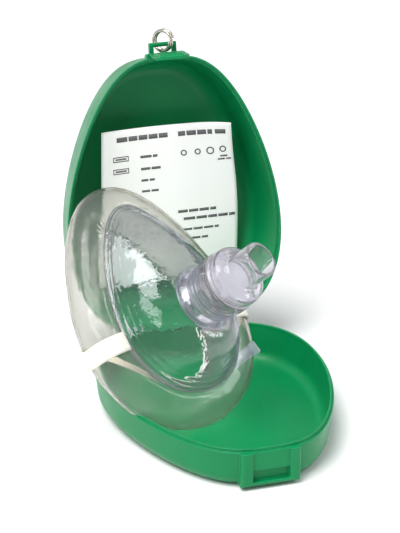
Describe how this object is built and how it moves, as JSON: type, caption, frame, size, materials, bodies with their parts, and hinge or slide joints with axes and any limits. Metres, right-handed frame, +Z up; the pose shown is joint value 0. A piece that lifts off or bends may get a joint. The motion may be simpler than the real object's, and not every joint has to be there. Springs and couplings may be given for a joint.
{
  "type": "pocket resuscitation mask in hinged case",
  "caption": "Pocket resuscitation face mask with cushion cuff, one-way valve and filter, in a hinged egg-shaped hard case with latch, key ring and leaflet",
  "frame": {"origin": "centre of the base shell's flat underside", "axes": "+Z up, hinge line towards +Y and parallel to X, latch towards -Y"},
  "size_m": [0.1281, 0.1933, 0.1684],
  "materials": {
    "case": "satin moulded",
    "steel": "nickel plated",
    "leaflet": "matt print",
    "cuff": "soft clear vinyl",
    "clear_shell": "soft clear vinyl",
    "clear_valve": "clear moulded plastic",
    "elastic": "woven elastic",
    "filter": "fibre",
    "silicone": "translucent"
  },
  "bodies": {
    "base": {"base_shell": "case", "hinge_pin": "steel"},
    "lid": {"lid_shell": "case"},
    "latch": {"latch_tongue": "case"},
    "ring": {"key_ring": "steel"},
    "leaflet": {"leaflet": "leaflet"},
    "mask": {"air_cuff": "cuff", "mask_dome": "clear_shell", "filler_stem": "clear_shell", "head_strap": "elastic"},
    "plug": {"filler_plug": "clear_valve"},
    "port": {"mask_port": "clear_shell"},
    "connector": {"valve_connector": "clear_valve"},
    "valve": {"valve_body": "clear_valve", "valve_seat": "clear_valve", "drum_gasket": "silicone", "filter_pad": "filter", "filter_ring": "clear_valve", "valve_cap": "clear_valve"},
    "flap": {"flap": "silicone"}
  },
  "joints": [
    {"name": "lid_hinge", "type": "hinge", "parent": "base", "child": "lid", "pos_m": [0, 0.07, 0.019], "axis": [-1, 0, 0], "range_deg": [-99.5, 0]},
    {"name": "latch_flex", "type": "hinge", "parent": "lid", "child": "latch", "pos_m": [0, 0.09483, 0.1577], "axis": [-1, 0, 0], "range_deg": [0, 12], "stiffness_Nm_per_rad": 0.02},
    {"name": "ring_swing", "type": "hinge", "parent": "lid", "child": "ring", "pos_m": [0, 0.10026, 0.16105], "axis": [-1, 0, 0], "range_deg": [-15, 45]},
    {"name": "leaflet_lean", "type": "hinge", "parent": "lid", "child": "leaflet", "pos_m": [0, 0.09937, 0.03335], "axis": [-1, 0, 0], "range_deg": [0, 9]},
    {"name": "mask_fold", "type": "hinge", "parent": "base", "child": "mask", "pos_m": [0, -0.0298, 0.06745], "axis": [0.9016, 0.2905, 0.3206], "range_deg": [-49.5, 0], "deforming": ["air_cuff", "head_strap"]},
    {"name": "dome_push", "type": "hinge", "parent": "mask", "child": "port", "pos_m": [0.25589, 0.11054, 0.01745], "axis": [-0.152, 0.679, 0.7182], "range_deg": [-8.3, 0], "deforming": ["mask_dome"]},
    {"name": "valve_pull", "type": "slide", "parent": "port", "child": "connector", "axis": [0.4537, -0.5976, 0.661], "range_m": [0, 0.012]},
    {"name": "valve_swivel", "type": "hinge", "parent": "connector", "child": "valve", "pos_m": [-0.01029, -0.00135, 0.06692], "axis": [0.4537, -0.5976, 0.661], "continuous": true},
    {"name": "flap_lift", "type": "slide", "parent": "valve", "child": "flap", "axis": [0.4537, -0.5976, 0.661], "range_m": [-0.0012, 0], "stiffness_N_per_m": 20},
    {"name": "plug_pull", "type": "slide", "parent": "mask", "child": "plug", "axis": [0.8336, -0.0169, 0.5522], "range_m": [0, 0.006]}
  ],
  "couplings": [
    {"joint": "leaflet_lean", "follows": "lid_hinge", "ratio": -0.090452},
    {"joint": "mask_fold", "follows": "lid_hinge", "ratio": 0.49749},
    {"joint": "dome_push", "follows": "lid_hinge", "ratio": 0.083417}
  ]
}
